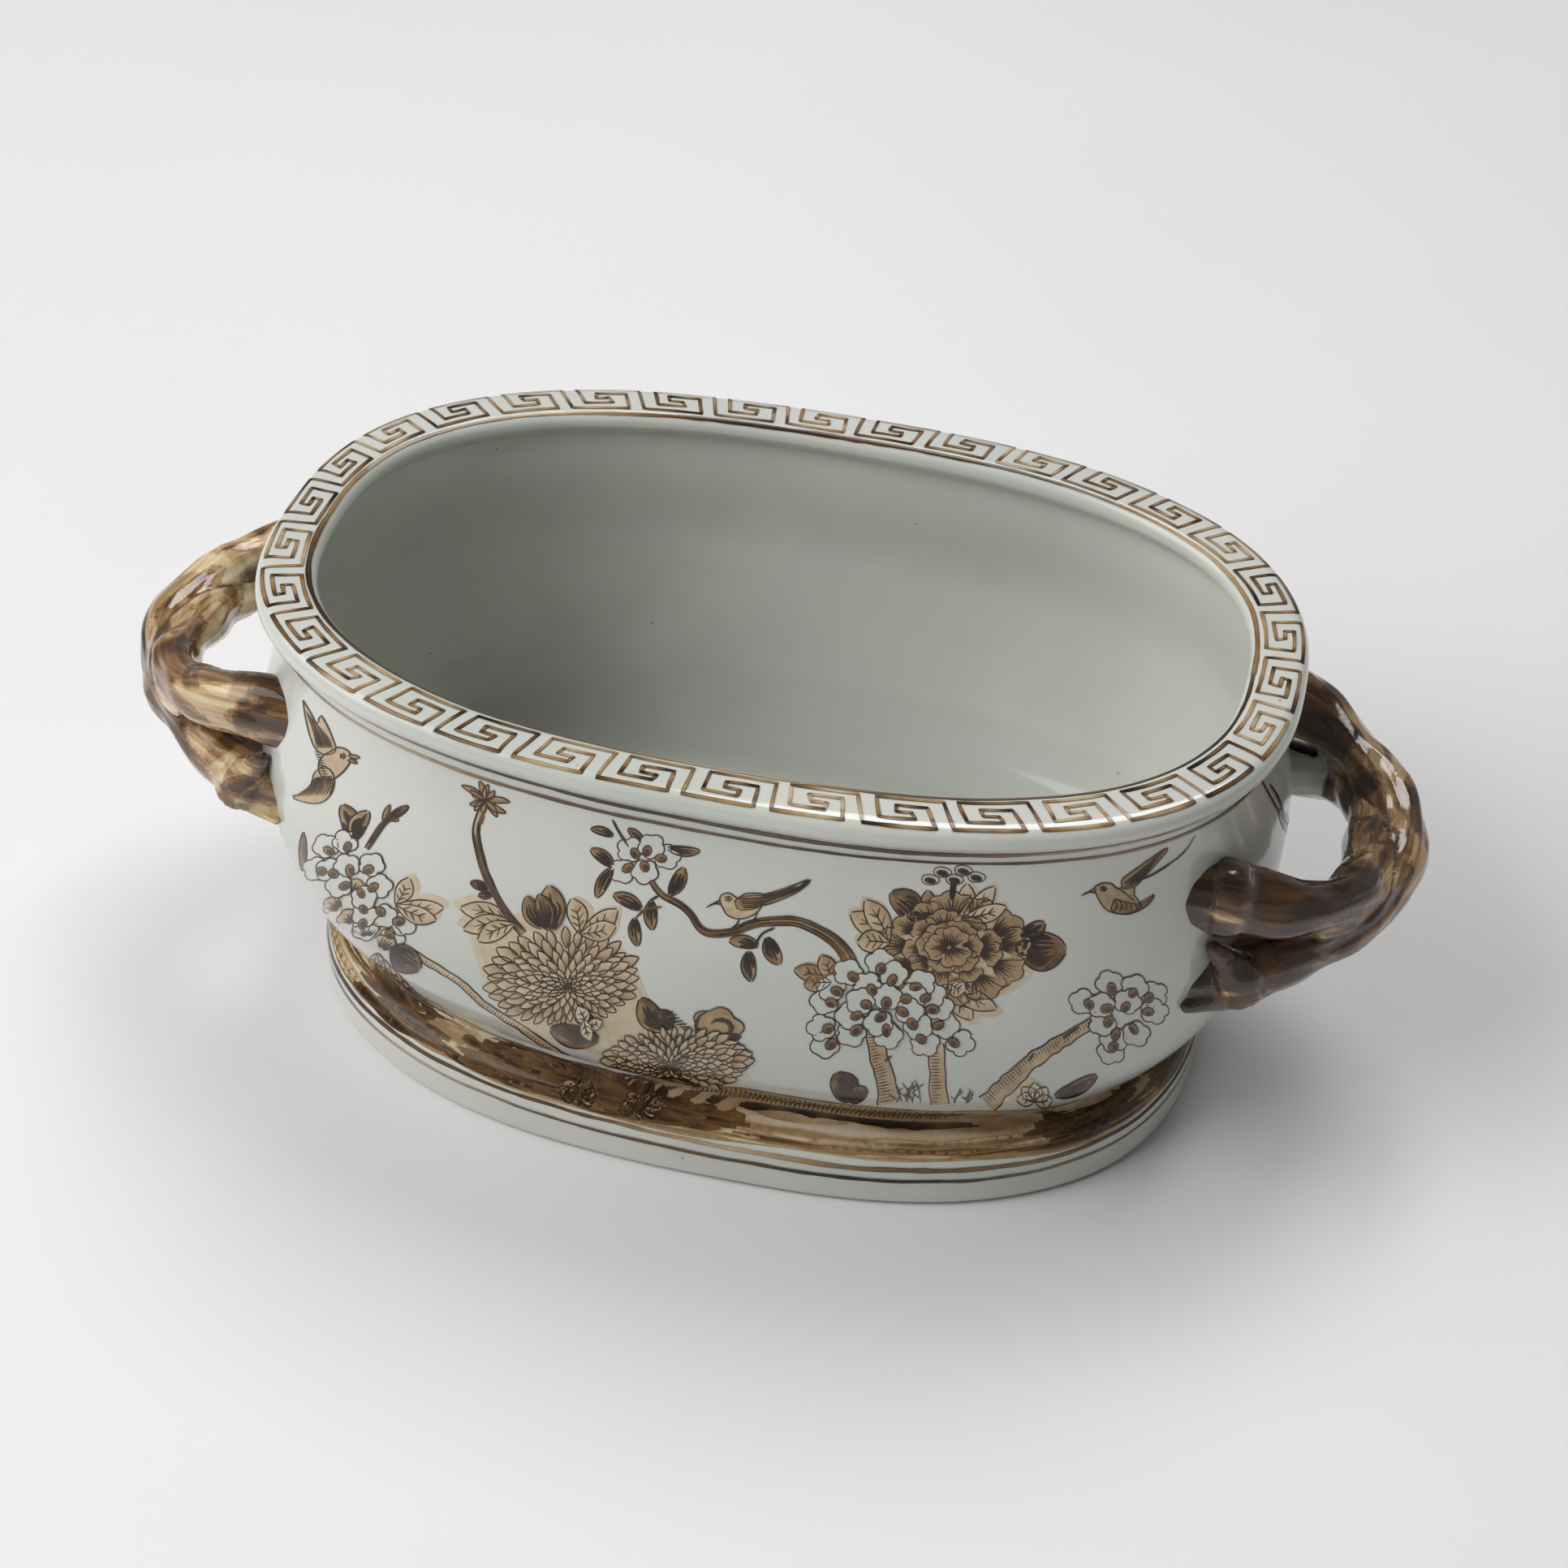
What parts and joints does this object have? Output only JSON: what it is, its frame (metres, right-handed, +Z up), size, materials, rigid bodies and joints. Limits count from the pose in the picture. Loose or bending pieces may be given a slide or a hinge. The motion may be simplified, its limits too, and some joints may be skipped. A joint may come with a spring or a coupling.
{
  "type": "flower pot",
  "caption": "Oval glazed porcelain planter with a flat rolled rim, a spreading foot and side handles of entwined branches; it holds soil and a plant.",
  "frame": {"origin": "on the foot's lower face, midway between the outer ends of the two handles; the bowl's own middle is 3.5 mm towards +X, because the left handle reaches further than the right one", "axes": "+Z up, X along the long axis through both handles, the painted front towards -Y"},
  "size_m": [0.5188, 0.265, 0.193],
  "materials": {
    "white_glaze": "glossy glazed porcelain, cool white",
    "inner_glaze": "glossy glazed porcelain, pale grey green",
    "bark_glaze": "glossy streaked brown glaze, tan to dark brown",
    "dark_bark_glaze": "glossy streaked dark brown glaze"
  },
  "bodies": {
    "root": {"foot_ring": "white_glaze", "bowl_floor": "inner_glaze", "bowl_wall": "white_glaze", "rim_flange": "white_glaze", "left_strand_upper_at_front": "bark_glaze", "left_strand_lower_at_front": "bark_glaze", "left_front_thorn": "dark_bark_glaze", "left_back_thorn": "dark_bark_glaze", "right_strand_upper_at_front": "dark_bark_glaze", "right_strand_lower_at_front": "dark_bark_glaze", "right_front_thorn": "dark_bark_glaze", "right_back_thorn": "dark_bark_glaze"}
  },
  "joints": []
}
